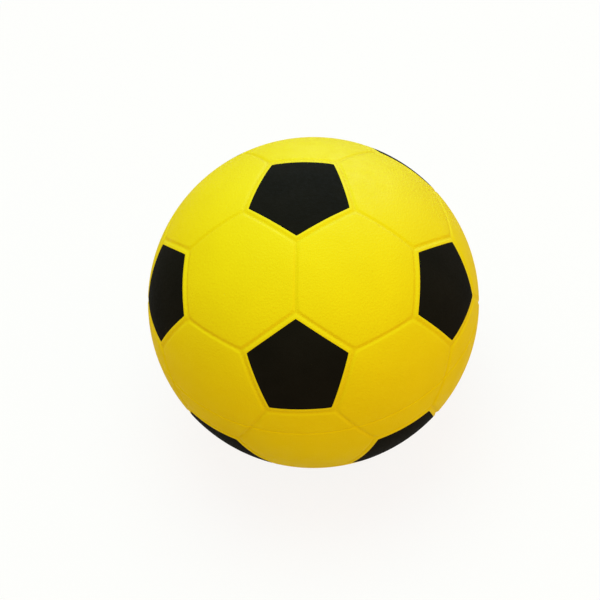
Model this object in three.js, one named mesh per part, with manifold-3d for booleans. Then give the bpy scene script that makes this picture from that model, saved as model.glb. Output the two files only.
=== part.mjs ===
// Soft soccer ball, in millimetres. Foam-backed panels are bonded over a wound carcass, a bladder inside
// holds the air, and a needle valve stands in one rear panel. The ball's centre is the origin, +Z runs
// through the middle of the top pentagon, and the mould's parting line lies in the XY plane.
import * as THREE from "three";
import { mergeVertices } from "three/addons/utils/BufferGeometryUtils.js";
import Module from "manifold-3d";

// Ball and cover
const BALL_DIAMETER = 206;
const COVER_THICKNESS = 4.5;

// Seam groove: two rounded panel shoulders with a hairline gap between them
const SEAM_GAP = 0.3;
const SHOULDER_WIDTH = 1.95;
const GROOVE_DEPTH = 0.65;

// Parting line of the mould, a fine V across the panels on the equator
const PARTING_WIDTH = 3.2;
const PARTING_DEPTH = 0.5;

// Black facing let into each pentagon panel, inside a margin of the panel's own colour
const MARGIN_WIDTH = 0.8;
const FACING_THICKNESS = 0.9;

// Layers under the cover
const CARCASS_THICKNESS = 0.8;
const BLADDER_THICKNESS = 0.6;

// Valve boot: a neck through the cover, a flange inside the bladder and a tail in the air space
const VALVE_RECESS = 0.8;
const NECK_WALL = 1.6;
const TAIL_WALL = 1.5;
const FLANGE_WIDTH = 8;
const FLANGE_THICKNESS = 1.4;

// Valve core: a headed plug with two sealing ribs and a needle hole
const HEAD_DIAMETER = 9;
const HEAD_THICKNESS = 1.6;
const HEAD_EDGE = 0.4;
const STEM_DIAMETER = 6.4;
const STEM_LENGTH = 18;
const STEM_TIP_LENGTH = 4;
const STEM_TIP_DIAMETER = 4.2;
const RIB_HEIGHT = 0.3;
const RIB_WIDTH = 1.6;
const RIB_SPACING = 4;
const NEEDLE_HOLE_DIAMETER = 2;
const NEEDLE_HOLE_DEPTH = 13;
const FUNNEL_DIAMETER = 3.2;
const FUNNEL_DEPTH = 0.9;

// Clearance between pieces that are seated on each other
const FIT_GAP = 0.3;

// Facets along one side of a panel, on the crown and on the back, and round the turned pieces
const CROWN_FACETS = 4;
const BACK_FACETS = 2;
const SHOULDER_STEPS = 2;
const FLANGE_STEPS = 2;
const VALVE_FACETS = 20;
const PARTING_FACETS = 60;

// Radii from the ball's centre
const BALL_RADIUS = BALL_DIAMETER / 2;
const COVER_BACK = BALL_RADIUS - COVER_THICKNESS;
const CARCASS_OUTSIDE = COVER_BACK - FIT_GAP;
const CARCASS_INSIDE = CARCASS_OUTSIDE - CARCASS_THICKNESS;
const BLADDER_OUTSIDE = CARCASS_INSIDE - FIT_GAP;
const BLADDER_INSIDE = BLADDER_OUTSIDE - BLADDER_THICKNESS;

// Valve sizes that follow from its pieces
const HEAD_RADIUS = HEAD_DIAMETER / 2;
const STEM_RADIUS = STEM_DIAMETER / 2;
const HEAD_SOCKET_RADIUS = HEAD_RADIUS + FIT_GAP;
const NECK_RADIUS = HEAD_SOCKET_RADIUS + NECK_WALL;
const BORE_RADIUS = STEM_RADIUS + RIB_HEIGHT + FIT_GAP;
const TAIL_RADIUS = BORE_RADIUS + TAIL_WALL;
const PORT_RADIUS = NECK_RADIUS + FIT_GAP;
const VALVE_FACE = BALL_RADIUS - VALVE_RECESS;
const HEAD_UNDERSIDE = VALVE_FACE - HEAD_THICKNESS;
const HEAD_SEAT = HEAD_UNDERSIDE - FIT_GAP;
const STEM_END = HEAD_UNDERSIDE - STEM_LENGTH;
const TAIL_END = STEM_END + STEM_TIP_LENGTH;

const wasm = await Module();
wasm.setup();

// Finishes
const FINISHES = {
  yellow_cover: { color: 0xecd91e, roughness: 0.55, metalness: 0 },
  black_facing: { color: 0x1a1916, roughness: 0.75, metalness: 0 },
  wound_thread: { color: 0xcfc8b4, roughness: 0.9, metalness: 0 },
  butyl_rubber: { color: 0x2b2a29, roughness: 0.7, metalness: 0 },
  valve_rubber: { color: 0x3a3936, roughness: 0.6, metalness: 0 },
};

// One named sub-part with a material of its own
function subPart(name, geometry, finish) {
  const mesh = new THREE.Mesh(geometry, new THREE.MeshStandardMaterial(FINISHES[finish]));
  mesh.name = name;
  return mesh;
}

// A closed geometry from triangle corners, three points for each face
function closedGeometry(points) {
  return mergeVertices(new THREE.BufferGeometry().setFromPoints(points), 1e-3);
}

// A geometry as a solid that can be cut
function solidOf(geometry) {
  const bare = new THREE.BufferGeometry();
  bare.setAttribute("position", geometry.getAttribute("position"));
  bare.setIndex(geometry.getIndex());
  const merged = mergeVertices(bare, 1e-3);
  const mesh = new wasm.Mesh({
    numProp: 3,
    vertProperties: new Float32Array(merged.getAttribute("position").array),
    triVerts: new Uint32Array(merged.getIndex().array),
  });
  return new wasm.Manifold(mesh);
}

// A geometry with the cutters taken out of it
function cut(geometry, ...cutters) {
  const solid = cutters.reduce((rest, cutter) => rest.subtract(solidOf(cutter)), solidOf(geometry));
  const { vertProperties, triVerts } = solid.getMesh();
  const result = new THREE.BufferGeometry();
  result.setAttribute("position", new THREE.BufferAttribute(new Float32Array(vertProperties), 3));
  result.setIndex(new THREE.BufferAttribute(new Uint32Array(triVerts), 1));
  return result;
}

// A profile of [radius, height] points turned round +Z
function turned(profile, facets) {
  const points = profile.map(([radius, height]) => new THREE.Vector2(radius, height));
  return new THREE.LatheGeometry(points, facets).rotateX(Math.PI / 2);
}

// Directions from the ball's centre
const Z_UP = new THREE.Matrix4().makeRotationX(Math.PI / 2);
function direction(azimuth, elevation) {
  return new THREE.Vector3().setFromSphericalCoords(1, Math.PI / 2 - elevation, azimuth).applyMatrix4(Z_UP);
}

// Layout of the panels: pentagons on both poles and in two rings of five, the first of them in front
const SECTORS = 5;
const SECTOR_ANGLE = (2 * Math.PI) / SECTORS;
const RING_ELEVATION = Math.atan(0.5);
const TOP = direction(0, Math.PI / 2);
const BOTTOM = direction(0, -Math.PI / 2);
const SECTOR_LIST = Array.from({ length: SECTORS }, (_, sector) => sector);
const UPPER = SECTOR_LIST.map((sector) => direction(sector * SECTOR_ANGLE, RING_ELEVATION));
const LOWER = SECTOR_LIST.map((sector) => direction((sector + 0.5) * SECTOR_ANGLE, -RING_ELEVATION));

// The turn that brings +Z to a panel's centre and +X to the side that faces a neighbour
function panelTurn(centre, neighbour) {
  const sideways = neighbour.clone().addScaledVector(centre, -neighbour.dot(centre)).normalize();
  const across = new THREE.Vector3().crossVectors(centre, sideways);
  return new THREE.Quaternion().setFromRotationMatrix(
    new THREE.Matrix4().makeBasis(sideways, across, centre),
  );
}

// A hexagon lies between three pentagons, and one of its sides faces the first of them
function hexagonPlace(name, ...pentagons) {
  const centre = pentagons.reduce((sum, next) => sum.add(next), new THREE.Vector3()).normalize();
  return { name, centre, turn: panelTurn(centre, pentagons[0]) };
}

// A pentagon has a hexagon at each side
function pentagonPlace(name, centre, hexagon) {
  return { name, centre, turn: panelTurn(centre, hexagon.centre) };
}

const HEXAGONS = SECTOR_LIST.map((sector) => {
  const next = (sector + 1) % SECTORS;
  const previous = (sector + SECTORS - 1) % SECTORS;
  const number = sector + 1;
  return {
    top: hexagonPlace(`top_${number}`, TOP, UPPER[sector], UPPER[next]),
    upper: hexagonPlace(`upper_${number}`, LOWER[sector], UPPER[sector], UPPER[next]),
    lower: hexagonPlace(`lower_${number}`, UPPER[sector], LOWER[previous], LOWER[sector]),
    bottom: hexagonPlace(`bottom_${number}`, BOTTOM, LOWER[sector], LOWER[next]),
  };
});
const PENTAGONS = [
  pentagonPlace("top", TOP, HEXAGONS[0].top),
  ...UPPER.map((centre, sector) => pentagonPlace(`upper_${sector + 1}`, centre, HEXAGONS[sector].lower)),
  ...LOWER.map((centre, sector) => pentagonPlace(`lower_${sector + 1}`, centre, HEXAGONS[sector].upper)),
  pentagonPlace("bottom", BOTTOM, HEXAGONS[0].bottom),
];
const VALVE_PLACE = HEXAGONS[2].upper;

// Angle from a panel's centre to the middle of its sides: seams run between points a third of the way
// from each pentagon's centre to the next
const SEAM_MIDDLE = TOP.clone().multiplyScalar(4).add(UPPER[0]).add(UPPER[1]);
const HEXAGON = { sides: 6, inradius: SEAM_MIDDLE.angleTo(HEXAGONS[0].top.centre) };
const PENTAGON = { sides: 5, inradius: SEAM_MIDDLE.angleTo(TOP) };

// Corners of a regular polygon on the unit sphere round +Z, with the middle of one side towards +X
function polygonCorners({ sides, inradius }, inset) {
  const reach = Math.tan(inradius - inset / BALL_RADIUS) / Math.cos(Math.PI / sides);
  return Array.from({ length: sides }, (_, corner) => {
    const turn = ((corner - 0.5) * 2 * Math.PI) / sides;
    return new THREE.Vector3(reach * Math.cos(turn), reach * Math.sin(turn), 1).normalize();
  });
}

// Points along a polygon's sides, each side lying in a plane through the ball's centre
function ringPoints(shape, { inset, radius, facets }) {
  const corners = polygonCorners(shape, inset);
  return corners.flatMap((corner, index) => {
    const next = corners[(index + 1) % corners.length];
    return Array.from({ length: facets }, (_, step) =>
      corner.clone().lerp(next, step / facets).setLength(radius),
    );
  });
}

// Faces of a spherical cap inside a ring, split evenly from the panel's centre to each side
function domeFaces(shape, { inset, radius, facets }) {
  const centre = new THREE.Vector3(0, 0, 1);
  const corners = polygonCorners(shape, inset);
  const faces = [];
  corners.forEach((corner, index) => {
    const next = corners[(index + 1) % corners.length];
    const at = (row, column) =>
      new THREE.Vector3()
        .addScaledVector(centre, facets - row)
        .addScaledVector(corner, row - column)
        .addScaledVector(next, column)
        .setLength(radius);
    for (let row = 1; row <= facets; row += 1) {
      for (let column = 0; column < row; column += 1) {
        faces.push(at(row - 1, column), at(row, column), at(row, column + 1));
        if (column > 0) {
          faces.push(at(row - 1, column - 1), at(row, column), at(row - 1, column));
        }
      }
    }
  });
  return faces;
}

// Faces between two rings, which may have different numbers of points
function bandFaces(inner, outer) {
  const faces = [];
  let i = 0;
  let j = 0;
  while (i < inner.length || j < outer.length) {
    const a = inner[i % inner.length];
    const b = outer[j % outer.length];
    if ((j + 1) * inner.length <= (i + 1) * outer.length) {
      j += 1;
      faces.push(a, b, outer[j % outer.length]);
    } else {
      i += 1;
      faces.push(a, b, inner[i % inner.length]);
    }
  }
  return faces;
}

// A panel solid: a dome inside the first ring, bands from ring to ring, and a dome that closes the back
function panelGeometry(shape, rings) {
  const lines = rings.map((ring) => ringPoints(shape, ring));
  const bands = lines.slice(1).map((line, index) => bandFaces(lines[index], line));
  const crown = domeFaces(shape, rings[0]);
  const back = domeFaces(shape, rings[rings.length - 1]).reverse();
  return closedGeometry([crown, ...bands, back].flat());
}

// The rounded shoulder, from the crown down to the lip at the seam
function shoulderRings() {
  return Array.from({ length: SHOULDER_STEPS + 1 }, (_, step) => {
    const bend = (step / SHOULDER_STEPS) * (Math.PI / 2);
    return {
      inset: SEAM_GAP / 2 + SHOULDER_WIDTH * (1 - Math.sin(bend)),
      radius: BALL_RADIUS - GROOVE_DEPTH * (1 - Math.cos(bend)),
      facets: CROWN_FACETS,
    };
  });
}

const SHOULDER = shoulderRings();
const COVER_BACK_RING = { inset: SEAM_GAP / 2, radius: COVER_BACK, facets: BACK_FACETS };
const POCKET_INSET = SHOULDER[0].inset + MARGIN_WIDTH;
const POCKET_FLOOR = BALL_RADIUS - FACING_THICKNESS - FIT_GAP;
const FACING_INSET = POCKET_INSET + FIT_GAP;

function hexagonGeometry() {
  return panelGeometry(HEXAGON, [...SHOULDER, COVER_BACK_RING]);
}

// A pentagon panel has a shallow pocket for its facing
function pentagonGeometry() {
  const floor = { inset: POCKET_INSET, radius: POCKET_FLOOR, facets: BACK_FACETS };
  const rim = { inset: POCKET_INSET, radius: BALL_RADIUS, facets: CROWN_FACETS };
  return panelGeometry(PENTAGON, [floor, rim, ...SHOULDER, COVER_BACK_RING]);
}

function facingGeometry() {
  const face = { inset: FACING_INSET, radius: BALL_RADIUS, facets: CROWN_FACETS };
  const back = { inset: FACING_INSET, radius: BALL_RADIUS - FACING_THICKNESS, facets: BACK_FACETS };
  return panelGeometry(PENTAGON, [face, back]);
}

// A ring with a V section that presses the parting line into the panels on the equator
function partingGeometry() {
  const clear = PARTING_DEPTH;
  const outside = BALL_RADIUS + clear;
  const halfWidth = ((PARTING_WIDTH / 2) * (PARTING_DEPTH + clear)) / PARTING_DEPTH;
  const bottom = [BALL_RADIUS - PARTING_DEPTH, 0];
  return turned([bottom, [outside, -halfWidth], [outside, halfWidth], bottom], PARTING_FACETS);
}

// The port that the valve's neck passes through, from the air space out past the cover
function portGeometry() {
  const length = BALL_RADIUS / 2;
  const port = new THREE.CylinderGeometry(PORT_RADIUS, PORT_RADIUS, length, VALVE_FACETS);
  return port.rotateX(Math.PI / 2).translate(0, 0, BALL_RADIUS);
}

// A closed ball of flat facets that follow the panels' backs
function ballGeometry(radius) {
  const panelFaces = (shape, places) =>
    places.flatMap(({ turn }) =>
      domeFaces(shape, { inset: 0, radius, facets: BACK_FACETS }).map((point) => point.applyQuaternion(turn)),
    );
  const hexagons = panelFaces(HEXAGON, HEXAGONS.flatMap(Object.values));
  return closedGeometry([...hexagons, ...panelFaces(PENTAGON, PENTAGONS)]);
}

// A hollow layer with the valve port through it
function layerGeometry(outside, inside) {
  const port = portGeometry().applyQuaternion(VALVE_PLACE.turn);
  return cut(ballGeometry(outside), ballGeometry(inside), port);
}

// Least distance from the ball's centre to a facet of a layer
function innermostFacet(radius) {
  const points = domeFaces(HEXAGON, { inset: 0, radius, facets: BACK_FACETS });
  const plane = new THREE.Plane();
  let least = radius;
  for (let first = 0; first < points.length; first += 3) {
    plane.setFromCoplanarPoints(points[first], points[first + 1], points[first + 2]);
    least = Math.min(least, Math.abs(plane.constant));
  }
  return least;
}

// Points on an arc about the ball's centre, from one distance off the valve axis to another
function flangeArc(radius, from, to) {
  return Array.from({ length: FLANGE_STEPS + 1 }, (_, step) => {
    const offset = THREE.MathUtils.lerp(from, to, step / FLANGE_STEPS);
    return [offset, Math.sqrt(radius ** 2 - offset ** 2)];
  });
}

function valveBootGeometry() {
  const seat = innermostFacet(BLADDER_INSIDE) - FIT_GAP;
  const flangeRadius = NECK_RADIUS + FLANGE_WIDTH;
  const start = [HEAD_SOCKET_RADIUS, VALVE_FACE];
  return turned(
    [
      start,
      [HEAD_SOCKET_RADIUS, HEAD_SEAT],
      [BORE_RADIUS, HEAD_SEAT],
      [BORE_RADIUS, TAIL_END],
      [TAIL_RADIUS, TAIL_END],
      ...flangeArc(seat - FLANGE_THICKNESS, TAIL_RADIUS, flangeRadius),
      ...flangeArc(seat, flangeRadius, NECK_RADIUS),
      [NECK_RADIUS, VALVE_FACE],
      start,
    ],
    VALVE_FACETS,
  );
}

// A sealing rib round the stem, as profile points from its lower to its upper side
function ribProfile(height) {
  return [
    [STEM_RADIUS, height - RIB_WIDTH / 2],
    [STEM_RADIUS + RIB_HEIGHT, height],
    [STEM_RADIUS, height + RIB_WIDTH / 2],
  ];
}

function valveCoreGeometry() {
  const upperRib = HEAD_UNDERSIDE - RIB_SPACING;
  const needleRadius = NEEDLE_HOLE_DIAMETER / 2;
  const needleEnd = VALVE_FACE - NEEDLE_HOLE_DEPTH;
  return turned(
    [
      [0, STEM_END],
      [STEM_TIP_DIAMETER / 2, STEM_END],
      [STEM_RADIUS, TAIL_END],
      ...ribProfile(upperRib - RIB_SPACING),
      ...ribProfile(upperRib),
      [STEM_RADIUS, HEAD_UNDERSIDE],
      [HEAD_RADIUS, HEAD_UNDERSIDE],
      [HEAD_RADIUS, VALVE_FACE - HEAD_EDGE],
      [HEAD_RADIUS - HEAD_EDGE, VALVE_FACE],
      [FUNNEL_DIAMETER / 2, VALVE_FACE],
      [needleRadius, VALVE_FACE - FUNNEL_DEPTH],
      [needleRadius, needleEnd],
      [0, needleEnd],
    ],
    VALVE_FACETS,
  );
}

// Hexagon panels: those on the equator take the parting line, and one of them the valve port
function hexagonPanels() {
  const panels = new THREE.Group();
  const parting = partingGeometry();
  for (const { top, upper, lower, bottom } of HEXAGONS) {
    for (const place of [top, upper, lower, bottom]) {
      const cutters = [];
      if (place === upper || place === lower) {
        cutters.push(parting.clone().applyQuaternion(place.turn.clone().invert()));
      }
      if (place === VALVE_PLACE) {
        cutters.push(portGeometry());
      }
      const panel = subPart(`hexagon_panel_${place.name}`, cut(hexagonGeometry(), ...cutters), "yellow_cover");
      panel.quaternion.copy(place.turn);
      panels.add(panel);
    }
  }
  return panels;
}

// Pentagon panels, each with its black facing
function pentagonPanels() {
  const panels = new THREE.Group();
  for (const { name, turn } of PENTAGONS) {
    const pair = new THREE.Group();
    pair.quaternion.copy(turn);
    pair.add(subPart(`pentagon_panel_${name}`, pentagonGeometry(), "yellow_cover"));
    pair.add(subPart(`black_facing_${name}`, facingGeometry(), "black_facing"));
    panels.add(pair);
  }
  return panels;
}

// Carcass, bladder and valve
function innerParts() {
  const parts = new THREE.Group();
  parts.add(subPart("carcass", layerGeometry(CARCASS_OUTSIDE, CARCASS_INSIDE), "wound_thread"));
  parts.add(subPart("bladder", layerGeometry(BLADDER_OUTSIDE, BLADDER_INSIDE), "butyl_rubber"));
  const valve = new THREE.Group();
  valve.quaternion.copy(VALVE_PLACE.turn);
  valve.add(subPart("valve_boot", valveBootGeometry(), "butyl_rubber"));
  valve.add(subPart("valve_core", valveCoreGeometry(), "valve_rubber"));
  parts.add(valve);
  return parts;
}

const ball = new THREE.Group();
ball.name = "soft_soccer_ball";
ball.add(hexagonPanels(), pentagonPanels(), innerParts());

export default ball;
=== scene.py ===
"""Dresses the soft soccer ball: smooth panel skins, black facings, needle valve, studio and camera."""

import logging
import math
from abc import ABC, abstractmethod
from dataclasses import dataclass, field
from enum import Enum

import bmesh
import bpy
from mathutils import Matrix, Vector


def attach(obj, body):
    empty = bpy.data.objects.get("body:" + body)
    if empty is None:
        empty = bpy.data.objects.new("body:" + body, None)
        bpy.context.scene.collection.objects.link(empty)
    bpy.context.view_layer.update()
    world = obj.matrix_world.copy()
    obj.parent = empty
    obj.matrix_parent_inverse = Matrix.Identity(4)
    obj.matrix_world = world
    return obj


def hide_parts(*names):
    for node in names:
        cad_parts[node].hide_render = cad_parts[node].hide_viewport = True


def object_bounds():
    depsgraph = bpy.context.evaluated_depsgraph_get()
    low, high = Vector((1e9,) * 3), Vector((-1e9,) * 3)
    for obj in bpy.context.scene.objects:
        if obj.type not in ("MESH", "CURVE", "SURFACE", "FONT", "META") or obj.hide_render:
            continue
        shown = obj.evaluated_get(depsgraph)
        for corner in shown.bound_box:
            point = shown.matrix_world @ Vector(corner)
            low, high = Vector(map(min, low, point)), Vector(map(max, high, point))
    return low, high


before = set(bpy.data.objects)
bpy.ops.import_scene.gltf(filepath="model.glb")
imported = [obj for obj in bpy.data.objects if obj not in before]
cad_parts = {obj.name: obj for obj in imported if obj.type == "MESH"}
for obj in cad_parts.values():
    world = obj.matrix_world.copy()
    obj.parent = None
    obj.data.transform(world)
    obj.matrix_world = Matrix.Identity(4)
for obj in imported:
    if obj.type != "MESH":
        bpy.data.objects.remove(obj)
CAD_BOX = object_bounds()
MM = 0.001
UP = Vector((0, 0, 1))

Colour = tuple[float, float, float]
Span = tuple[float, float]
Point = tuple[float, float]
Socket = bpy.types.NodeSocket

log = logging.getLogger("soft_soccer_ball")


class Body(Enum):
    """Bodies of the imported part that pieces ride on."""

    BALL = "ball"
    CORE = "core"


class Slot(Enum):
    """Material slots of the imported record."""

    YELLOW_COVER = "yellow_cover"
    BLACK_FACING = "black_facing"
    WOUND_THREAD = "wound_thread"
    BUTYL_RUBBER = "butyl_rubber"
    VALVE_RUBBER = "valve_rubber"


class Kind(Enum):
    """The two panel shapes, by their number of sides."""

    PENTAGON = 5
    HEXAGON = 6


class NodeSketch:
    """Adds nodes to one tree and joins them, taking plain values or sockets as inputs."""

    FIRST_COLOUR = 6
    SECOND_COLOUR = 7
    MIXED_COLOUR = 2

    def __init__(self, tree: bpy.types.NodeTree) -> None:
        """Keeps the tree that the nodes go into."""
        self.tree = tree

    @classmethod
    def fresh(cls, owner: bpy.types.Material | bpy.types.World) -> "NodeSketch":
        """Starts the nodes of a material or a world.

        Args:
            owner: The material or the world.

        Returns:
            A sketch on its empty tree.
        """
        owner.use_nodes = True
        owner.node_tree.nodes.clear()
        return cls(owner.node_tree)

    def feed(self, socket: Socket, value: object) -> None:
        """Links a socket into another, or sets a plain value on it.

        Args:
            socket: The input to feed.
            value: A socket, or a value that the input can hold.
        """
        if isinstance(value, bpy.types.NodeSocket):
            self.tree.links.new(value, socket)
        else:
            socket.default_value = value

    def feed_named(self, node: bpy.types.Node, values: dict[str, object]) -> None:
        """Feeds a node's inputs by name."""
        for name, value in values.items():
            self.feed(node.inputs[name], value)

    def node(
        self, kind: str, *values: object, named: dict[str, object] | None = None, **settings: object
    ) -> bpy.types.Node:
        """Adds a node.

        Args:
            kind: The node's class name.
            values: What its first inputs get, in order.
            named: What other inputs get, by name.
            settings: Properties of the node, by name.

        Returns:
            The new node.
        """
        made = self.tree.nodes.new(kind)
        for name, value in settings.items():
            setattr(made, name, value)
        for socket, value in zip(made.inputs, values):
            self.feed(socket, value)
        self.feed_named(made, named or {})
        return made

    def math(self, operation: str, *values: object) -> Socket:
        """Returns the result of a Math node."""
        return self.node("ShaderNodeMath", *values, operation=operation).outputs[0]

    def vector(self, operation: str, *values: object) -> Socket:
        """Returns the result of a Vector Math node."""
        return self.node("ShaderNodeVectorMath", *values, operation=operation).outputs[0]

    def scaled(self, vector: Socket, factor: object) -> Socket:
        """Returns a vector times a number."""
        named = {"Vector": vector, "Scale": factor}
        return self.node("ShaderNodeVectorMath", named=named, operation="SCALE").outputs[0]

    def flat(self, x: object, y: object) -> Socket:
        """Returns a vector with two parts and no height."""
        return self.node("ShaderNodeCombineXYZ", x, y).outputs[0]

    def split(self, vector: Socket) -> tuple[Socket, ...]:
        """Returns the three parts of a vector."""
        return tuple(self.node("ShaderNodeSeparateXYZ", vector).outputs)

    def noise(self, place: Socket, per_metre: float, octaves: float) -> Socket:
        """Returns a noise value around a half, its waves counted in a metre."""
        named = {"Vector": place, "Scale": per_metre, "Detail": octaves}
        return self.node("ShaderNodeTexNoise", named=named).outputs["Fac"]

    def span(self, value: Socket, source: Span, target: Span) -> Socket:
        """Returns a number carried from one range to another and held at its ends."""
        return self.node("ShaderNodeMapRange", value, *source, *target, clamp=True).outputs[0]

    def mix(self, share: Socket, first: object, second: object) -> Socket:
        """Mixes two colours.

        Args:
            share: How much of the second colour there is, from 0 to 1.
            first: A colour or its socket.
            second: A colour or its socket.

        Returns:
            The mixed colour.
        """
        made = self.node("ShaderNodeMix", share, data_type="RGBA")
        self.feed(made.inputs[self.FIRST_COLOUR], first)
        self.feed(made.inputs[self.SECOND_COLOUR], second)
        return made.outputs[self.MIXED_COLOUR]

    def blend(self, share: object, first: Socket, second: Socket) -> Socket:
        """Returns a mix of two shaders."""
        return self.node("ShaderNodeMixShader", share, first, second).outputs[0]

    def bump(self, height: Socket, depth: float, under: Socket | None = None) -> Socket:
        """Bends the normal by a relief.

        Args:
            height: The relief, from 0 to 1.
            depth: How deep a relief of 1 is, in metres.
            under: The normal of a coarser relief below it.

        Returns:
            The bent normal.
        """
        named = {"Distance": depth, "Height": height}
        if under is not None:
            named["Normal"] = under
        return self.node("ShaderNodeBump", named=named).outputs[0]


def rgba(colour: Colour) -> tuple[float, float, float, float]:
    """Returns a colour with full opacity."""
    return (*colour, 1.0)


@dataclass(frozen=True)
class PebbleGrain:
    """Moulded grain: soft pebbles with a finer tooth on them. Counts in a metre, depths in metres."""

    pebbles: float = 900.0
    pebble_depth: float = 0.16 * MM
    tooth: float = 2400.0
    tooth_depth: float = 0.03 * MM
    octaves: float = 2.0

    def normal(self, sketch: NodeSketch, place: Socket) -> Socket:
        """Bends the normal by both layers.

        Args:
            sketch: The material's nodes.
            place: Object coordinates, in metres.

        Returns:
            The bent normal.
        """
        named = {"Vector": place, "Scale": self.pebbles}
        cells = sketch.node("ShaderNodeTexVoronoi", named=named, feature="SMOOTH_F1")
        coarse = sketch.bump(cells.outputs["Distance"], self.pebble_depth)
        return sketch.bump(sketch.noise(place, self.tooth, self.octaves), self.tooth_depth, coarse)


@dataclass(frozen=True)
class Drift:
    """Slow change of tone over a surface.

    Attributes:
        waves: Number of waves in a metre.
        octaves: Number of finer layers in each wave.
        usual: Range that the noise keeps to for the most part.
    """

    waves: float
    octaves: float = 3.0
    usual: Span = (0.35, 0.65)

    def share(self, sketch: NodeSketch, place: Socket, target: Span = (0.0, 1.0)) -> Socket:
        """Makes the drift.

        Args:
            sketch: The material's nodes.
            place: Object coordinates, in metres.
            target: The range that it drifts over.

        Returns:
            The drifting number.
        """
        return sketch.span(sketch.noise(place, self.waves, self.octaves), self.usual, target)


@dataclass(frozen=True)
class Finish(ABC):
    """A surface finish, made once as a node material."""

    name: str
    slot: Slot

    def material(self) -> bpy.types.Material:
        """Makes the finish's material on first use.

        Returns:
            The material.
        """
        found = bpy.data.materials.get(self.name)
        if found is not None:
            return found
        made = bpy.data.materials.new(self.name)
        sketch = NodeSketch.fresh(made)
        shader = sketch.node("ShaderNodeBsdfPrincipled")
        sketch.node("ShaderNodeOutputMaterial", shader.outputs[0])
        self.paint(sketch, shader, sketch.node("ShaderNodeTexCoord").outputs["Object"])
        return made

    @abstractmethod
    def paint(self, sketch: NodeSketch, shader: bpy.types.Node, place: Socket) -> None:
        """Joins the finish's textures to its shader.

        Args:
            sketch: The material's nodes.
            shader: The Principled shader.
            place: Object coordinates, in metres.
        """


@dataclass(frozen=True)
class CoverSkin(Finish):
    """Soft yellow skin on foam: faint clouding, a fine pebble grain and painted shade that darkens the
    grooves.
    """

    name: str = "cover_yellow"
    slot: Slot = Slot.YELLOW_COVER
    colour: Colour = (0.83, 0.745, 0.002)
    clouded: Colour = (0.805, 0.715, 0.002)
    # Painted shade: the darker colour that the skin turns towards as it sinks into a seam groove, and how
    # much of it.
    groove: Colour = (0.70, 0.50, 0.002)
    groove_shade_share: float = 0.12
    clouds: Drift = Drift(26.0)
    patches: Drift = Drift(104.0)
    grain: PebbleGrain = PebbleGrain()
    specular: float = 0.06
    roughness: Span = (0.60, 0.70)

    def paint(self, sketch: NodeSketch, shader: bpy.types.Node, place: Socket) -> None:
        """Joins clouding, painted groove shade, grain and gloss to the shader.

        Args:
            sketch: The material's nodes.
            shader: The Principled shader.
            place: Object coordinates, in metres.
        """
        skin = sketch.mix(self.clouds.share(sketch, place), rgba(self.colour), rgba(self.clouded))
        # Painted shade: the deeper a point lies in its groove, the more of the darker groove colour goes
        # into the skin.
        depth = sketch.node("ShaderNodeAttribute", attribute_name=PanelTree.GROOVE_SHADE_MASK).outputs["Fac"]
        share = sketch.math("MULTIPLY", depth, self.groove_shade_share)
        values = {
            "Base Color": sketch.mix(share, skin, rgba(self.groove)),
            "Roughness": self.patches.share(sketch, place, self.roughness),
            "Specular IOR Level": self.specular,
            "Normal": self.grain.normal(sketch, place),
        }
        sketch.feed_named(shader, values)


@dataclass(frozen=True)
class MattRubber(Finish):
    """Matt rubber or ink: a dark colour that drifts a little, with a moulded grain."""

    colour: Colour
    worn: Colour
    specular: float
    grain: PebbleGrain = PebbleGrain(tooth=1800.0, pebble_depth=0.03 * MM, tooth_depth=0.02 * MM)
    drift: Drift = Drift(40.0)
    patches: Drift = Drift(400.0)
    roughness: Span = (0.62, 0.78)

    def paint(self, sketch: NodeSketch, shader: bpy.types.Node, place: Socket) -> None:
        """Joins drift, grain and gloss to the shader.

        Args:
            sketch: The material's nodes.
            shader: The Principled shader.
            place: Object coordinates, in metres.
        """
        values = {
            "Base Color": sketch.mix(self.drift.share(sketch, place), rgba(self.colour), rgba(self.worn)),
            "Roughness": self.patches.share(sketch, place, self.roughness),
            "Specular IOR Level": self.specular,
            "Normal": self.grain.normal(sketch, place),
        }
        sketch.feed_named(shader, values)


@dataclass(frozen=True)
class ThreadWinding(Finish):
    """Pale thread wound three ways round the carcass and bound in latex."""

    name: str = "wound_thread"
    slot: Slot = Slot.WOUND_THREAD
    thread: Colour = (0.66, 0.60, 0.47)
    latex: Colour = (0.40, 0.33, 0.20)
    threads_per_m: float = 160.0
    wander: float = 1.2
    relief: float = 0.15 * MM
    roughness: Span = (0.55, 0.85)

    def paint(self, sketch: NodeSketch, shader: bpy.types.Node, place: Socket) -> None:
        """Joins three crossing sets of threads to the shader.

        Args:
            sketch: The material's nodes.
            shader: The Principled shader.
            place: Object coordinates, in metres.
        """
        named = {"Vector": place, "Scale": self.threads_per_m, "Distortion": self.wander}
        strands = [sketch.node("ShaderNodeTexWave", named=named, bands_direction=way) for way in "XYZ"]
        weave, *others = (strand.outputs["Fac"] for strand in strands)
        for other in others:
            weave = sketch.math("MAXIMUM", weave, other)
        values = {
            "Base Color": sketch.mix(weave, rgba(self.latex), rgba(self.thread)),
            "Roughness": sketch.span(weave, (0.0, 1.0), self.roughness),
            "Normal": sketch.bump(weave, self.relief),
        }
        sketch.feed_named(shader, values)


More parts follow.
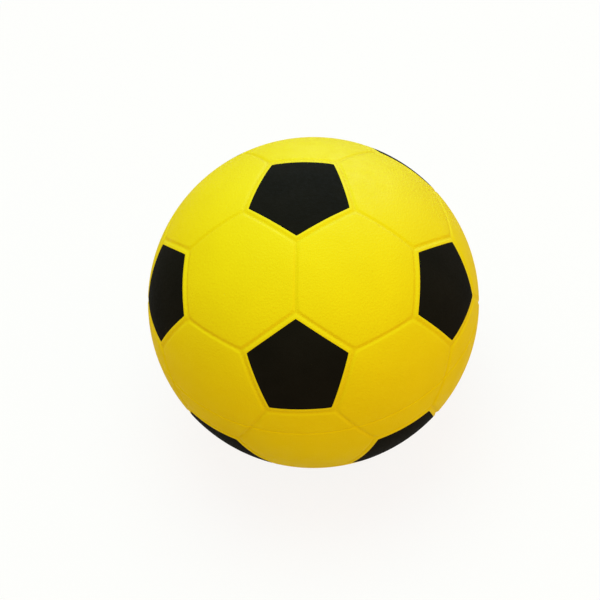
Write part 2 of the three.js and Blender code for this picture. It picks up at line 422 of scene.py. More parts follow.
COVER_SKIN = CoverSkin()
FACING_INK = MattRubber(
    name="facing_black",
    slot=Slot.BLACK_FACING,
    colour=(0.0066, 0.0067, 0.0046),
    worn=(0.0086, 0.0085, 0.0059),
    specular=0.02,
    grain=COVER_SKIN.grain,
    roughness=(0.82, 0.92),
)
BUTYL = MattRubber(
    name="butyl_black",
    slot=Slot.BUTYL_RUBBER,
    colour=(0.018, 0.017, 0.016),
    worn=(0.03, 0.028, 0.026),
    specular=0.25,
)
VALVE_RUBBER = MattRubber(
    name="valve_grey",
    slot=Slot.VALVE_RUBBER,
    colour=(0.034, 0.033, 0.03),
    worn=(0.05, 0.048, 0.044),
    specular=0.1,
)
THREAD = ThreadWinding()


def linked(name: str, data: bpy.types.ID) -> bpy.types.Object:
    """Makes an object and links it to the scene.

    Args:
        name: The object's name.
        data: Its mesh, lamp or camera.

    Returns:
        The new object.
    """
    made = bpy.data.objects.new(name, data)
    bpy.context.scene.collection.objects.link(made)
    return made


def hand_over(mesh: bpy.types.Mesh, node: str, body: Body, finish: Finish) -> bpy.types.Object:
    """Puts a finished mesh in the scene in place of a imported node.

    Args:
        mesh: The piece's mesh, in the part's frame.
        node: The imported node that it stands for.
        body: The body that it rides on.
        finish: Its finish.

    Returns:
        The new piece.
    """
    piece = linked(f"{node}_skin", mesh)
    mesh.materials.clear()
    mesh.materials.append(finish.material())
    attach(piece, body.value)
    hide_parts(node)
    log.info("%s: %d faces, rides on %s", piece.name, len(mesh.polygons), body.value)
    return piece


@dataclass(frozen=True)
class Place:
    """Where one panel sits: its name and the directions of its middle and of one side."""

    name: str
    centre: Vector
    side: Vector

    @property
    def cross(self) -> Vector:
        """The direction square to the other two."""
        return self.centre.cross(self.side)

    @classmethod
    def facing(cls, name: str, centre: Vector, neighbour: Vector) -> "Place":
        """Returns the place of a panel with one side towards a neighbour."""
        return cls(name, centre, (neighbour - centre * neighbour.dot(centre)).normalized())


@dataclass(frozen=True)
class Layout:
    """Thirty-two panels round a ball: pentagons on the poles and in two rings, hexagons between them.

    Attributes:
        sectors: Number of pentagons in a ring.
        ring_elevation: Angle of the upper ring above the equator, in radians.
    """

    sectors: int = 5
    ring_elevation: float = math.atan(0.5)

    def pentagon_ring(self, first_sector: float, elevation: float) -> list[Vector]:
        """Makes the directions of a ring of pentagons.

        Args:
            first_sector: Where the ring starts, counted in sectors from the front.
            elevation: Its angle above the equator, in radians.

        Returns:
            The direction of each pentagon's middle.
        """
        level = math.cos(elevation)
        ring = []
        for sector in range(self.sectors):
            azimuth = (first_sector + sector) * 2 * math.pi / self.sectors
            across, ahead = level * math.sin(azimuth), level * math.cos(azimuth)
            ring.append(Vector((across, -ahead, math.sin(elevation))))
        return ring

    def rings(self) -> tuple[list[Vector], list[Vector]]:
        """Returns the upper and the lower ring of pentagons, half a sector apart."""
        return self.pentagon_ring(0.0, self.ring_elevation), self.pentagon_ring(0.5, -self.ring_elevation)

    def hexagons(self) -> list[Place]:
        """Places the hexagons, each between three pentagons.

        Returns:
            The places, ring by ring in each sector.
        """
        upper, lower = self.rings()
        places = []
        for sector in range(self.sectors):
            after, before = (sector + 1) % self.sectors, sector - 1
            around = {
                "top": (UP, upper[sector], upper[after]),
                "upper": (lower[sector], upper[sector], upper[after]),
                "lower": (upper[sector], lower[before], lower[sector]),
                "bottom": (-UP, lower[sector], lower[after]),
            }
            for ring, near in around.items():
                centre = sum(near, Vector()).normalized()
                places.append(Place.facing(f"{ring}_{sector + 1}", centre, near[0]))
        return places

    def pentagons(self) -> list[Place]:
        """Places the pentagons, each with a hexagon at every side.

        Returns:
            The places, from the top pole to the bottom one.
        """
        upper, lower = self.rings()
        middles = {place.name: place.centre for place in self.hexagons()}
        places = [Place.facing("top", UP, middles["top_1"])]
        for ring, centres, beside in (("upper", upper, "lower"), ("lower", lower, "upper")):
            for number, centre in enumerate(centres, 1):
                places.append(Place.facing(f"{ring}_{number}", centre, middles[f"{beside}_{number}"]))
        places.append(Place.facing("bottom", -UP, middles["bottom_1"]))
        return places

    def side_angle(self, kind: Kind) -> float:
        """Measures a panel from its middle to the middle of a side.

        Args:
            kind: The panel's shape.

        Returns:
            The angle seen from the ball's centre. A seam's ends lie a third of the way between pentagons.
        """
        first, second = self.rings()[0][:2]
        start, end = UP * 2 + first, UP * 2 + second
        return (start + end).angle(UP if kind is Kind.PENTAGON else UP + first + second)


@dataclass(frozen=True)
class Ring:
    """One ring of a panel's section, from its middle over the seam edge to the middle of its back.

    Attributes:
        share: 0 at the panel's middle or port, 1 at the side.
        inset: Distance of the side from the seam, in metres.
        depth: Depth below the ball's crown, in metres.
        cut: How far the corners are cut back, as a share of their reach.
        crease: Whether the surface breaks sharply here.
    """

    share: float
    inset: float
    depth: float
    cut: float = 0.0
    crease: bool = False


def steps(count: int) -> list[float]:
    """Returns count numbers that rise evenly to 1, without 0."""
    return [(step + 1) / count for step in range(count)]


def quarter_turn(count: int) -> list[tuple[float, float]]:
    """Returns the cosine and sine of angles that rise evenly from 0 to a quarter turn."""
    angles = [share * math.pi / 2 for share in (0.0, *steps(count))]
    return [(math.cos(angle), math.sin(angle)) for angle in angles]


@dataclass(frozen=True)
class PanelSection:
    """Section of the cover's panels and facings, swept round each panel's outline. Sizes in metres."""

    thickness: float = 4.5 * MM
    seam_gap: float = 0.02 * MM
    groove_reach: float = 2.1 * MM
    groove_depth: float = 0.65 * MM
    corner_cut: float = 0.022
    pocket_inset: float = 3.17 * MM
    facing_inset: float = 3.2 * MM
    facing_thickness: float = 0.9 * MM
    facing_cut: float = 0.006
    pocket_clearance: float = 0.1 * MM
    edge_round: float = 0.08 * MM
    port_round: float = 0.35 * MM
    port_round_share: float = 0.012
    crown_steps: int = 16
    groove_steps: int = 10
    round_steps: int = 3
    back_steps: int = 8

    def crown(self, inset: float, depth: float, cut: float, start: float = 0.0) -> list[Ring]:
        """Makes rings from the middle, or from a share of the way, out to a side.

        Args:
            inset: Distance of the side from the seam.
            depth: Depth below the ball's crown.
            cut: How far the corners are cut back.
            start: The share at which the first ring lies.

        Returns:
            The rings.
        """
        shares = [start + (1 - start) * step for step in steps(self.crown_steps)]
        return [Ring(share, inset, depth, cut) for share in (start, *shares)]

    def shoulder(self) -> list[Ring]:
        """Makes rings down the soft shoulder to the bottom of the seam groove.

        Returns:
            The rings, the last with a crease.
        """
        rings = []
        for step in steps(self.groove_steps):
            inset = self.groove_reach * (1 - step) + self.seam_gap / 2 * step
            depth = self.groove_depth * math.sin(step * math.pi / 2) ** 2
            rings.append(Ring(1.0, inset, depth, self.corner_cut * (1 - step), step == 1))
        return rings

    def back(self, inset: float, depth: float, cut: float = 0.0) -> list[Ring]:
        """Makes rings from the lower edge of the wall to the middle of the back.

        Args:
            inset: Distance of the wall from the seam.
            depth: Depth of the back below the ball's crown.
            cut: How far the corners are cut back.

        Returns:
            The rings, the first with a crease.
        """
        edge = Ring(1.0, inset, depth, cut, True)
        return [edge] + [Ring(1 - step, inset, depth, cut) for step in steps(self.back_steps)]

    def hexagon(self) -> list[Ring]:
        """Returns the section of a plain hexagon panel."""
        crown = self.crown(self.groove_reach, 0.0, self.corner_cut)
        return crown + self.shoulder() + self.back(self.seam_gap / 2, self.thickness)

    def ported_hexagon(self) -> list[Ring]:
        """Makes the section of the hexagon with the valve port.

        Returns:
            The rings, from the lower edge of the port's wall round to the back. The last meets the first.
        """
        reach, cut = self.groove_reach, self.corner_cut
        wall = Ring(0.0, reach, self.thickness, cut, True)
        rim = [
            Ring(self.port_round_share * (1 - cosine), reach, self.port_round * (1 - sine), cut)
            for cosine, sine in quarter_turn(self.round_steps)
        ]
        crown = self.crown(reach, 0.0, cut, self.port_round_share)[1:]
        back = self.back(self.seam_gap / 2, self.thickness)[:-1]
        return [wall, *rim, *crown, *self.shoulder(), *back]

    def pentagon(self) -> list[Ring]:
        """Makes the section of a pentagon panel, with the pocket for its facing.

        Returns:
            The rings, from the middle of the pocket's floor to the middle of the back.
        """
        depth, cut = self.facing_thickness + self.pocket_clearance, self.facing_cut
        floor = self.crown(self.pocket_inset, depth, cut)
        floor[-1] = Ring(1.0, self.pocket_inset, depth, cut, True)
        rim = [
            Ring(1.0, self.pocket_inset - self.edge_round * (1 - cosine), self.edge_round * (1 - sine), cut)
            for cosine, sine in quarter_turn(self.round_steps)
        ]
        start = rim[-1].inset
        margin = [
            Ring(1.0, start + (self.groove_reach - start) * step, 0.0, cut + (self.corner_cut - cut) * step)
            for step in steps(self.round_steps)
        ]
        return floor + rim + margin + self.shoulder() + self.back(self.seam_gap / 2, self.thickness)

    def facing(self) -> list[Ring]:
        """Makes the section of a black facing.

        Returns:
            The rings, from the middle of its face over the rounded edge to the middle of its back.
        """
        inset, cut, edge = self.facing_inset, self.facing_cut, self.edge_round
        crown = self.crown(inset + edge, 0.0, cut)
        rim = [
            Ring(1.0, inset + edge * (1 - sine), edge * (1 - cosine), cut)
            for cosine, sine in quarter_turn(self.round_steps)[1:]
        ]
        return crown + rim + self.back(inset, self.facing_thickness, cut)


def bands(rows: list[list[int]], closed: bool) -> list[list[int]]:
    """Joins rows of points that run round a piece into bands of faces.

    Args:
        rows: The numbers of each row's points, as many in every row. A pole repeats its one point.
        closed: Whether the last row joins the first.

    Returns:
        The points of each face, facing outwards where rows run from the crown's middle to the back.
    """
    pairs = list(zip(rows, rows[1:]))
    if closed:
        pairs.append((rows[-1], rows[0]))
    faces = []
    for inner, outer in pairs:
        for step in range(len(inner)):
            corners = (inner[step - 1], outer[step - 1], outer[step], inner[step])
            faces.append(list(dict.fromkeys(corners)))
    return faces


@dataclass(frozen=True)
class FlatSection:
    """A panel's section laid flat for the panel tree: turn round the panel, share of the way out, depth."""

    rings: list[Ring]
    kind: Kind
    side_steps: int
    closed: bool

    @property
    def count(self) -> int:
        """Number of points in a full ring."""
        return self.kind.value * self.side_steps

    def rows(self) -> list[list[int]]:
        """Numbers the points ring by ring.

        Returns:
            The numbers of each ring's points. A ring in the panel's middle is one point.
        """
        rows, first = [], 0
        for ring in self.rings:
            lone = ring.share == 0 and not self.closed
            rows.append([first] * self.count if lone else list(range(first, first + self.count)))
            first = rows[-1][-1] + 1
        return rows

    def mesh(self) -> bpy.types.Mesh:
        """Makes the flat mesh.

        Returns:
            A mesh with the inset and corner cut of its points as attributes, and its creases sharp.
        """
        rows = self.rows()
        points, insets, cuts, creases = [], [], [], set()
        for ring, row in zip(self.rings, rows):
            used = len(set(row))
            points += [(step / self.side_steps, ring.share, ring.depth) for step in range(used)]
            insets += [ring.inset] * used
            cuts += [ring.cut] * used
            if ring.crease:
                creases |= {frozenset((row[step - 1], row[step])) for step in range(used)}
        mesh = bpy.data.meshes.new("panel_section")
        mesh.from_pydata(points, [], bands(rows, self.closed))
        for name, values in ((PanelTree.INSET, insets), (PanelTree.CUT, cuts)):
            mesh.attributes.new(name, "FLOAT", "POINT").data.foreach_set("value", values)
        sharp = mesh.attributes.new("sharp_edge", "BOOLEAN", "EDGE")
        sharp.data.foreach_set("value", [frozenset(edge.vertices) in creases for edge in mesh.edges])
        return mesh


@dataclass
class PanelTree:
    """Geometry nodes that wrap a panel's section round a spherical polygon."""

    # Attribute that holds how far down its groove a point lies, used as the mask of the painted groove
    # shade.
    GROOVE_SHADE_MASK = "groove"
    INSET = "inset"
    CUT = "cut"
    CORNER_POWER = 8.0
    INPUTS = {
        "Section": "NodeSocketGeometry",
        "Sides": "NodeSocketInt",
        "Side Angle": "NodeSocketFloat",
        "Ball Radius": "NodeSocketFloat",
        "Port Radius": "NodeSocketFloat",
        "Groove Depth": "NodeSocketFloat",
        "Side Axis": "NodeSocketVector",
        "Cross Axis": "NodeSocketVector",
        "Centre Axis": "NodeSocketVector",
        "Finish": "NodeSocketMaterial",
    }

    tree: bpy.types.GeometryNodeTree = field(init=False)
    identifiers: dict[str, str] = field(init=False)

    def __post_init__(self) -> None:
        """Makes the tree, with its named inputs."""
        self.tree = bpy.data.node_groups.new("panel_skin", "GeometryNodeTree")
        self.identifiers = {}
        for name, kind in self.INPUTS.items():
            socket = self.tree.interface.new_socket(name, in_out="INPUT", socket_type=kind)
            self.identifiers[name] = socket.identifier
        self.tree.interface.new_socket("Panel", in_out="OUTPUT", socket_type="NodeSocketGeometry")
        self.build()

    def stored(self, sketch: NodeSketch, name: str) -> Socket:
        """Returns the number that the section's points hold under a name."""
        named = {"Name": name}
        return sketch.node("GeometryNodeInputNamedAttribute", named=named, data_type="FLOAT").outputs[0]

    def outline(self, sketch: NodeSketch, given: bpy.types.Node, turn: Socket) -> Socket:
        """Finds a point on a panel's outline, on the plane that touches a unit ball at the panel's middle.

        Args:
            sketch: The tree's nodes.
            given: The group's inputs.
            turn: Distance round the outline, counted in sides.

        Returns:
            The point, flat.
        """
        sides = given.outputs["Sides"]
        inset_angle = sketch.math("DIVIDE", self.stored(sketch, self.INSET), given.outputs["Ball Radius"])
        apothem = sketch.math("TANGENT", sketch.math("SUBTRACT", given.outputs["Side Angle"], inset_angle))
        side = sketch.math("FLOOR", turn)
        along = sketch.math("MULTIPLY_ADD", sketch.math("SUBTRACT", turn, side), 2.0, -1.0)
        angle = sketch.math("DIVIDE", sketch.math("MULTIPLY", side, 2 * math.pi), sides)
        half = sketch.math("TANGENT", sketch.math("DIVIDE", math.pi, sides))
        cosine, sine = sketch.math("COSINE", angle), sketch.math("SINE", angle)
        middle = sketch.flat(cosine, sine)
        edge = sketch.flat(sketch.math("MULTIPLY", sine, -1.0), cosine)
        point = sketch.vector("ADD", middle, sketch.scaled(edge, sketch.math("MULTIPLY", along, half)))
        near_corner = sketch.math("POWER", sketch.math("ABSOLUTE", along), self.CORNER_POWER)
        cut = sketch.math("MULTIPLY", self.stored(sketch, self.CUT), near_corner)
        return sketch.scaled(point, sketch.math("MULTIPLY", apothem, sketch.math("SUBTRACT", 1.0, cut)))

    def build(self) -> None:
        """Builds the nodes: section to sphere, groove depth attribute that masks the painted groove shade,
        smooth faces and finish.
        """
        sketch = NodeSketch(self.tree)
        given = sketch.node("NodeGroupInput")
        ball_radius = given.outputs["Ball Radius"]
        turn, share, depth = sketch.split(sketch.node("GeometryNodeInputPosition").outputs[0])
        outline = self.outline(sketch, given, turn)
        port = sketch.math("TANGENT", sketch.math("DIVIDE", given.outputs["Port Radius"], ball_radius))
        circle = sketch.scaled(sketch.vector("NORMALIZE", outline), port)
        reach = sketch.scaled(sketch.vector("SUBTRACT", outline, circle), share)
        x, y, _ = sketch.split(sketch.vector("ADD", circle, reach))
        sideways = sketch.scaled(given.outputs["Side Axis"], x)
        across = sketch.scaled(given.outputs["Cross Axis"], y)
        off_centre = sketch.vector("ADD", sideways, across)
        ray = sketch.vector("ADD", off_centre, given.outputs["Centre Axis"])
        direction = sketch.vector("NORMALIZE", ray)
        place = sketch.scaled(direction, sketch.math("SUBTRACT", ball_radius, depth))
        # How far down its groove a point lies, stored as the mask of the painted groove shade in the skin
        # material.
        sunk = sketch.math("MINIMUM", sketch.math("DIVIDE", depth, given.outputs["Groove Depth"]), 1.0)
        groove = {"Name": self.GROOVE_SHADE_MASK, "Value": sunk}
        flow = given.outputs["Section"]
        for step in (
            sketch.node("GeometryNodeStoreNamedAttribute", named=groove, data_type="FLOAT", domain="POINT"),
            sketch.node("GeometryNodeSetPosition", named={"Position": place}),
            sketch.node("GeometryNodeSetShadeSmooth"),
            sketch.node("GeometryNodeRealizeInstances"),
            sketch.node("GeometryNodeSetMaterial", named={"Material": given.outputs["Finish"]}),
        ):
            sketch.feed(step.inputs["Geometry"], flow)
            flow = step.outputs["Geometry"]
        sketch.node("NodeGroupOutput", flow)

    def wrap(self, section: bpy.types.Mesh, values: dict[str, object]) -> bpy.types.Mesh:
        """Runs the tree on a section.

        Args:
            section: The flat section mesh.
            values: The tree's inputs by name.

        Returns:
            The panel as a plain mesh in the part's frame.
        """
        carrier = linked("section_carrier", section)
        modifier = carrier.modifiers.new("panel_skin", "NODES")
        modifier.node_group = self.tree
        for name, value in values.items():
            modifier[self.identifiers[name]] = value
        graph = bpy.context.evaluated_depsgraph_get()
        mesh = bpy.data.meshes.new_from_object(carrier.evaluated_get(graph), depsgraph=graph)
        carrier.modifiers.remove(modifier)
        bpy.data.objects.remove(carrier)
        return mesh


@dataclass(frozen=True)
class PartingLine:
    """Fine line that the two halves of the mould leave round the equator: a long dip over a steep lip.

    Attributes:
        dip: How far the dip goes up from the line, in metres.
        lip: How far the lip goes down from the line, in metres.
        depth: Depth of the line, in metres.
        cuts: Number of steps in the dip, and in the lip.
        snap: Distance at which a cut takes a point that is already there, in metres.
        crown: Depth down to which a panel's surface takes the line, in metres.
    """

    dip: float = 1.6 * MM
    lip: float = 0.6 * MM
    depth: float = 0.5 * MM
    cuts: int = 7
    snap: float = 0.0001 * MM
    crown: float = 1.3 * MM

    def levels(self) -> list[float]:
        """Returns the heights that the steps of the lip and the dip lie at."""
        return [0.0] + [reach * share for reach in (-self.lip, self.dip) for share in steps(self.cuts)]

    def sunk(self, height: float) -> float:
        """Finds how far the crown is sunk.

        Args:
            height: Height above the equator, in metres.

        Returns:
            The depth there, in metres.
        """
        reach = self.dip if height > 0 else self.lip
        share = min(abs(height) / reach, 1.0)
        return self.depth * math.cos(share * math.pi / 2) ** 2

    def press(self, mesh: bpy.types.Mesh, ball_radius: float) -> None:
        """Presses the line into a panel's crown.

        Args:
            mesh: The panel's mesh in the part's frame.
            ball_radius: Radius of the ball, in metres.
        """
        work = bmesh.new()
        work.from_mesh(mesh)
        for level in self.levels():
            around = work.verts[:] + work.edges[:] + work.faces[:]
            bmesh.ops.bisect_plane(work, geom=around, plane_co=UP * level, plane_no=UP, dist=self.snap)
        for vertex in work.verts:
            if ball_radius - vertex.co.length < self.crown:
                vertex.co -= vertex.co.normalized() * self.sunk(vertex.co.z)
        work.to_mesh(mesh)
        work.free()


@dataclass
class Cover:
    """The panels and facings that show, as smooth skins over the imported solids."""

    radius: float
    port_radius: float
    layout: Layout
    section: PanelSection = PanelSection()
    parting: PartingLine = PartingLine()
    tree: PanelTree = field(default_factory=PanelTree)
    side_steps: int = 20
    ported: str = "upper_3"
    foam_fill: float = 0.95

    def skin(
        self, place: Place, kind: Kind, rings: list[Ring], finish: Finish, port: float = 0.0
    ) -> bpy.types.Mesh:
        """Makes one panel or facing.

        Args:
            place: Where it sits.
            kind: Its shape.
            rings: Its section.
            finish: Its finish.
            port: Radius of the hole in its middle, or 0 where it has none.

        Returns:
            The finished mesh.
        """
        flat = FlatSection(rings, kind, self.side_steps, port > 0)
        values = {
            "Sides": kind.value,
            "Side Angle": self.layout.side_angle(kind),
            "Ball Radius": self.radius,
            "Port Radius": port,
            "Groove Depth": self.section.groove_depth,
            "Side Axis": place.side,
            "Cross Axis": place.cross,
            "Centre Axis": place.centre,
            "Finish": finish.material(),
        }
        return self.tree.wrap(flat.mesh(), values)

    def hexagons(self) -> None:
        """Builds the hexagon panels, with the parting line on those that cross the equator."""
        for place in self.layout.hexagons():
            if place.name == self.ported:
                rings, port = self.section.ported_hexagon(), self.port_radius
            else:
                rings, port = self.section.hexagon(), 0.0
            mesh = self.skin(place, Kind.HEXAGON, rings, COVER_SKIN, port)
            if place.name.startswith(("upper", "lower")):
                self.parting.press(mesh, self.radius)
            piece = hand_over(mesh, f"hexagon_panel_{place.name}", Body.BALL, COVER_SKIN)

    def pentagons(self) -> None:
        """Builds the pentagon panels and their black facings."""
        for place in self.layout.pentagons():
            mesh = self.skin(place, Kind.PENTAGON, self.section.pentagon(), COVER_SKIN)
            piece = hand_over(mesh, f"pentagon_panel_{place.name}", Body.BALL, COVER_SKIN)
            mesh = self.skin(place, Kind.PENTAGON, self.section.facing(), FACING_INK)
            hand_over(mesh, f"black_facing_{place.name}", Body.BALL, FACING_INK)

    def build(self) -> None:
        """Builds every panel and facing."""
        self.hexagons()
        self.pentagons()


def rounded(corners: list[Point], radius: float, count: int = 3) -> list[Point]:
    """Rounds the corners of a turned piece's profile.

    Args:
        corners: Radius and height of each corner, in order.
        radius: The rounding, held to a third of the shorter neighbouring stretch.
        count: Number of steps in each rounding.

    Returns:
        The profile's points. Its ends stay as they are.
    """
    points = [Vector(corner) for corner in corners]
    profile = [points[0]]
    for before, corner, after in zip(points, points[1:], points[2:]):
        third = min((corner - before).length, (after - corner).length) / 3
        reach = min(radius, third)
        start = corner + (before - corner).normalized() * reach
        end = corner + (after - corner).normalized() * reach
        for share in (0.0, *steps(count)):
            profile.append(start.lerp(corner, share).lerp(corner.lerp(end, share), share))
    profile.append(points[-1])
    return [(point.x, point.y) for point in profile]


@dataclass
class Valve:
    """Needle valve on the hidden side: a boot through the cover and a core that pulls out. In metres."""

    place: Place
    ball_radius: float
    recess: float = 0.8 * MM
    head_radius: float = 4.5 * MM
    head_thickness: float = 1.6 * MM
    neck_wall: float = 1.6 * MM
    stem_radius: float = 3.2 * MM
    stem_length: float = 18 * MM
    tip_length: float = 4 * MM
    tip_radius: float = 2.1 * MM
    rib_height: float = 0.3 * MM
    rib_width: float = 1.6 * MM
    rib_spacing: float = 4 * MM
    rib_count: int = 2
    tail_wall: float = 1.5 * MM
    flange_width: float = 8 * MM
    flange_thickness: float = 1.4 * MM
    flange_drop: float = 8.4 * MM
    needle_radius: float = 1.0 * MM
    needle_depth: float = 13 * MM
    funnel_radius: float = 1.6 * MM
    funnel_depth: float = 0.9 * MM
    fit: float = 0.3 * MM
    edge: float = 0.35 * MM
    facets: int = 64
    sharp_angle: float = math.radians(50)

    @property
    def face(self) -> float:
        """Height of the valve's outer face from the ball's centre."""
        return self.ball_radius - self.recess

    @property
    def under(self) -> float:
        """Height of the underside of the core's head."""
        return self.face - self.head_thickness

    @property
    def socket_radius(self) -> float:
        """Radius of the boot's socket for the head."""
        return self.head_radius + self.fit

    @property
    def neck_radius(self) -> float:
        """Radius of the boot's neck."""
        return self.socket_radius + self.neck_wall

    def turned(self, corners: list[Point], closed: bool) -> bpy.types.Mesh:
        """Turns a rounded profile round the valve's axis.

        Args:
            corners: Radius and height of each corner, down the outside and up any bore.
            closed: Whether the profile closes on itself. One that doesn't starts and ends on the axis.

        Returns:
            A closed smooth mesh.
        """
        points, rows = [], []
        for radius, height in rounded(corners, self.edge):
            count = self.facets if radius > 0 else 1
            first = len(points)
            rows.append([first + facet % count for facet in range(self.facets)])
            for facet in range(count):
                angle = facet * 2 * math.pi / self.facets
                off = self.place.side * math.cos(angle) + self.place.cross * math.sin(angle)
                points.append(self.place.centre * height + off * radius)
        mesh = bpy.data.meshes.new("turned_piece")
        mesh.from_pydata(points, [], bands(rows, closed))
        mesh.shade_smooth()
        mesh.set_sharp_from_angle(angle=self.sharp_angle)
        return mesh

    def boot(self) -> bpy.types.Mesh:
        """Makes the boot: neck, dished flange, tail, bore and head socket.

        Returns:
            The boot's mesh.
        """
        bore = self.stem_radius + self.rib_height + self.fit
        tail = bore + self.tail_wall
        seat = self.under - self.fit
        end = self.under - self.stem_length + self.tip_length
        rim = self.neck_radius + self.flange_width
        flange = self.ball_radius - self.flange_drop
        lower = flange - self.flange_thickness
        third = self.neck_wall / 3
        corners = [
            (self.neck_radius - third, self.face),
            (self.neck_radius, self.face),
            (self.neck_radius, math.sqrt(flange**2 - self.neck_radius**2)),
            (rim, math.sqrt(flange**2 - rim**2)),
            (rim, math.sqrt(lower**2 - rim**2)),
            (tail, math.sqrt(lower**2 - tail**2)),
            (tail, end),
            (bore, end),
            (bore, seat),
            (self.socket_radius, seat),
            (self.socket_radius, self.face),
            (self.socket_radius + third, self.face),
        ]
        return self.turned(corners, closed=True)

    def core(self) -> bpy.types.Mesh:
        """Makes the core: needle hole, head, ribbed stem and tapered tip.

        Returns:
            The core's mesh.
        """
        end = self.under - self.stem_length
        needle_end = self.face - self.needle_depth
        corners = [
            (0.0, needle_end),
            (self.needle_radius, needle_end),
            (self.needle_radius, self.face - self.funnel_depth),
            (self.funnel_radius, self.face),
            (self.head_radius, self.face),
            (self.head_radius, self.under),
            (self.stem_radius, self.under),
        ]
        for number in range(1, self.rib_count + 1):
            middle = self.under - number * self.rib_spacing
            corners += [
                (self.stem_radius, middle + self.rib_width / 2),
                (self.stem_radius + self.rib_height, middle),
                (self.stem_radius, middle - self.rib_width / 2),
            ]
        corners += [(self.stem_radius, end + self.tip_length), (self.tip_radius, end), (0.0, end)]
        return self.turned(corners, closed=False)

    def build(self) -> None:
        """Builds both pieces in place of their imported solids."""
        hand_over(self.boot(), "valve_boot", Body.BALL, BUTYL)
        hand_over(self.core(), "valve_core", Body.CORE, VALVE_RUBBER)


@dataclass(frozen=True)
class InnerLayers:
    """Carcass and bladder, which stay as imported and take their finishes."""

    finishes: tuple[tuple[str, Finish], ...] = (("carcass", THREAD), ("bladder", BUTYL))

    def dress(self) -> None:
        """Gives each layer its finish."""
        for node, finish in self.finishes:
            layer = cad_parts[node]
            layer.data.materials.clear()
            layer.data.materials.append(finish.material())
            log.info("%s: packed solid, finish %s", node, finish.name)


@dataclass(frozen=True)
class SoftLamp:
    """A round soft lamp that faces the ball.

    Attributes:
        name: Name of the lamp.
        place: Where it hangs, in metres.
        size: Its diameter, in metres.
        power: Its power, in watts.
        colour: Colour of its light.
        gloss_only: Whether it shows in gloss and lights nothing else.
    """

    name: str
    place: tuple[float, float, float]
    size: float
    power: float
    colour: Colour
    gloss_only: bool = False

    def hang(self) -> None:
        """Hangs the lamp in the scene."""
        lamp = bpy.data.lights.new(self.name, "AREA")
        lamp.shape = "DISK"
        lamp.size = self.size
        lamp.energy = self.power
        lamp.color = self.colour
        holder = linked(self.name, lamp)
        holder.visible_diffuse = not self.gloss_only
        holder.location = self.place
        holder.rotation_euler = Vector(self.place).to_track_quat("Z", "Y").to_euler()


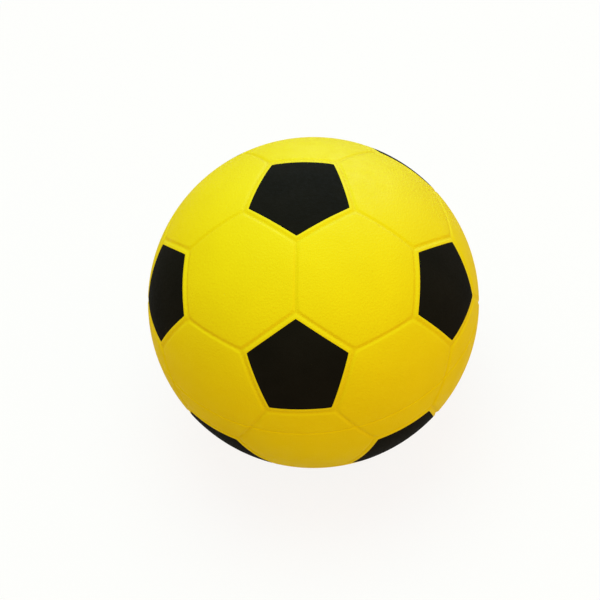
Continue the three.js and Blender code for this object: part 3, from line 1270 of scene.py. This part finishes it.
@dataclass
class Studio:
    """Pale floor, soft light and the photograph's camera. Sizes in metres, angles in degrees."""

    ball_radius: float
    floor_size: float = 24.0
    floor_bounce: Colour = (0.56, 0.45, 0.36)
    floor_seen: Colour = (0.90, 0.97, 1.0)
    floor_white: float = 0.86
    ambient: Colour = (1.0, 0.68, 0.5)
    ambient_strength: float = 0.83
    white: Colour = (1.0, 1.0, 1.0)
    key: SoftLamp = SoftLamp("soft_overhead", (-0.02, 0.2, 1.4), 1.2, 11.6, (0.47, 1.0, 0.95))
    fill: SoftLamp = SoftLamp("warm_fill", (1.4, -0.9, 0.25), 1.0, 5.0, (1.0, 0.66, 0.38))
    sheen: SoftLamp = SoftLamp("rear_sheen", (0.3, 1.4, 0.95), 1.4, 80.0, (0.6, 0.75, 1.0), gloss_only=True)
    azimuth: float = 9.0
    elevation: float = 49.4
    roll: float = 7.2
    distance: float = 1.568
    lens: float = 150.9
    shift: tuple[float, float] = (-0.0225, 0.0042)

    def seen_directly(self, sketch: NodeSketch) -> Socket:
        """Tells rays that show a surface from those that only light others by it.

        Args:
            sketch: The nodes of the floor or the world.

        Returns:
            1 for rays from the camera, from gloss and through clear material, and 0 for others.
        """
        path = sketch.node("ShaderNodeLightPath").outputs
        shown = sketch.math("MAXIMUM", path["Is Camera Ray"], path["Is Glossy Ray"])
        return sketch.math("MAXIMUM", shown, path["Is Transmission Ray"])

    def floor(self) -> None:
        """Makes the floor: pale and matt, nearly white where it is seen, with the ball's shadow on it."""
        half, level = self.floor_size / 2, -self.ball_radius
        mesh = bpy.data.meshes.new("floor")
        corners = [(-half, -half, level), (half, -half, level), (half, half, level), (-half, half, level)]
        mesh.from_pydata(corners, [], [(0, 1, 2, 3)])
        floor = linked("floor", mesh)
        material = bpy.data.materials.new("floor_pale")
        sketch = NodeSketch.fresh(material)
        bounce = sketch.node("ShaderNodeBsdfDiffuse", rgba(self.floor_bounce)).outputs[0]
        shadowed = sketch.node("ShaderNodeBsdfDiffuse", rgba(self.floor_seen)).outputs[0]
        white = sketch.node("ShaderNodeEmission", rgba(self.white)).outputs[0]
        seen = sketch.blend(self.floor_white, shadowed, white)
        surface = sketch.blend(self.seen_directly(sketch), bounce, seen)
        sketch.node("ShaderNodeOutputMaterial", surface)
        mesh.materials.append(material)

    def world(self) -> None:
        """Makes the world: soft warm fill, white where it is seen."""
        world = bpy.data.worlds.new("studio")
        sketch = NodeSketch.fresh(world)
        ambient = sketch.node("ShaderNodeBackground", rgba(self.ambient), self.ambient_strength).outputs[0]
        white = sketch.node("ShaderNodeBackground", rgba(self.white)).outputs[0]
        surface = sketch.blend(self.seen_directly(sketch), ambient, white)
        sketch.node("ShaderNodeOutputWorld", surface)
        bpy.context.scene.world = world

    def camera(self) -> None:
        """Sets the camera where the photograph was taken from."""
        azimuth, elevation, roll = map(math.radians, (self.azimuth, self.elevation, self.roll))
        level = math.cos(elevation)
        back = Vector((level * math.sin(azimuth), -level * math.cos(azimuth), math.sin(elevation)))
        right = UP.cross(back).normalized()
        lean = back.cross(right) * math.cos(roll) + right * math.sin(roll)
        data = bpy.data.cameras.new("photo_view")
        data.lens = self.lens
        data.shift_x, data.shift_y = self.shift
        holder = linked("photo_view", data)
        holder.rotation_euler = Matrix((lean.cross(back), lean, back)).transposed().to_euler()
        holder.location = back * self.distance
        bpy.context.scene.camera = holder

    def build(self) -> None:
        """Builds camera, floor, world and lamps."""
        bpy.context.scene.view_settings.view_transform = "Standard"
        self.camera()
        self.floor()
        self.world()
        for lamp in (self.key, self.fill, self.sheen):
            lamp.hang()


def main() -> None:
    """Builds the ball's classes in order."""
    logging.basicConfig(level=logging.INFO, format="%(name)s %(message)s")
    low, high = CAD_BOX
    radius = (high.z - low.z) / 2
    Studio(radius).build()
    layout = Layout()
    rear = next(place for place in layout.hexagons() if place.name == Cover.ported)
    valve = Valve(rear, radius)
    Cover(radius, valve.neck_radius + valve.fit / 2, layout).build()
    valve.build()
    InnerLayers().dress()


if __name__ == "__main__":
    main()
